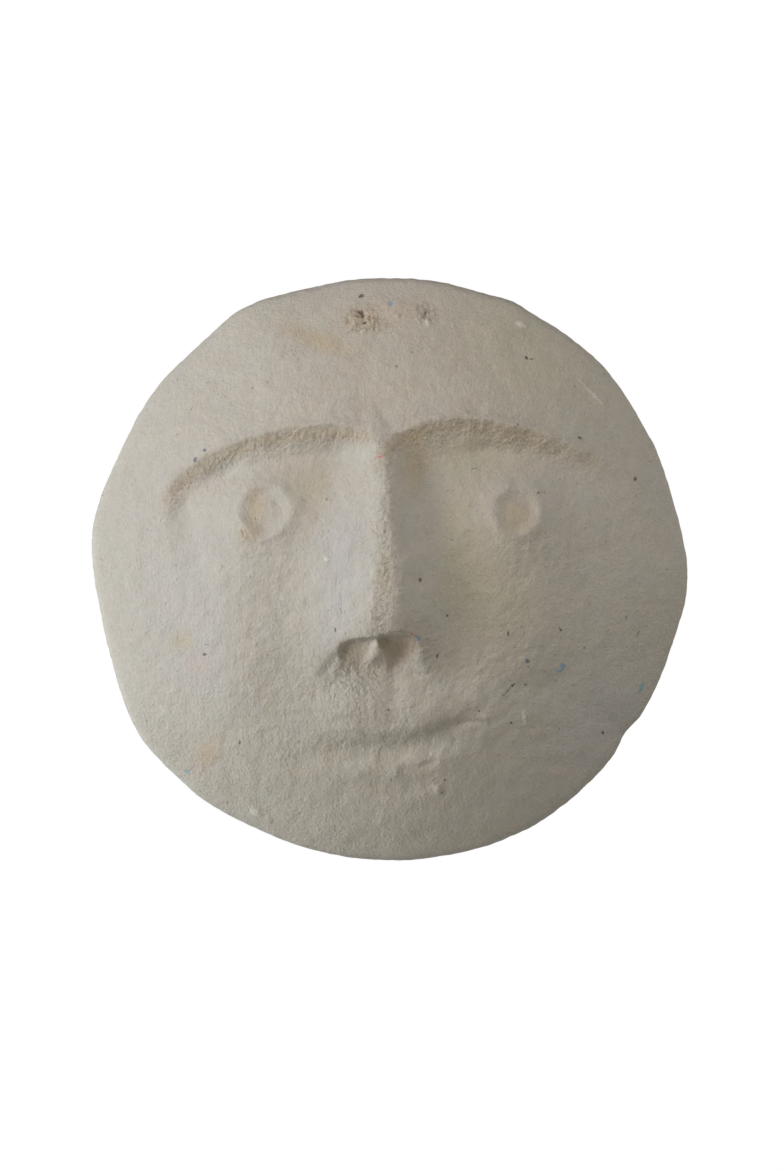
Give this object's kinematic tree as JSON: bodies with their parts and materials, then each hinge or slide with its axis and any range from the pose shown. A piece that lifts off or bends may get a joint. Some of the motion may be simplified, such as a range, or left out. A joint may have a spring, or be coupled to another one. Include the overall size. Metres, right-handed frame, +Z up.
{
  "type": "moon face wall plaque",
  "caption": "Round domed wall plaque of cast paper pulp with a full-moon face in relief: arched brows, ring eyes, wedge nose and crooked smile; hollow behind, with a nail pocket.",
  "frame": {"origin": "on the flat back of the hanging pad, in the wall plane, 6 mm above the nail pocket's upper edge; the middle of the face is 83.5 mm below it", "axes": "+Z up as the plaque hangs, -Y out of the face towards the room, +Y into the wall, +X to the right as the face is looked at"},
  "size_m": [0.1966, 0.0593, 0.192],
  "materials": {
    "paper_pulp": "matte grey-beige dried paper pulp, fibrous and finely pitted, with small dark, blue and rust flecks"
  },
  "bodies": {
    "root": {"moon_face_shell": "paper_pulp"}
  },
  "joints": []
}
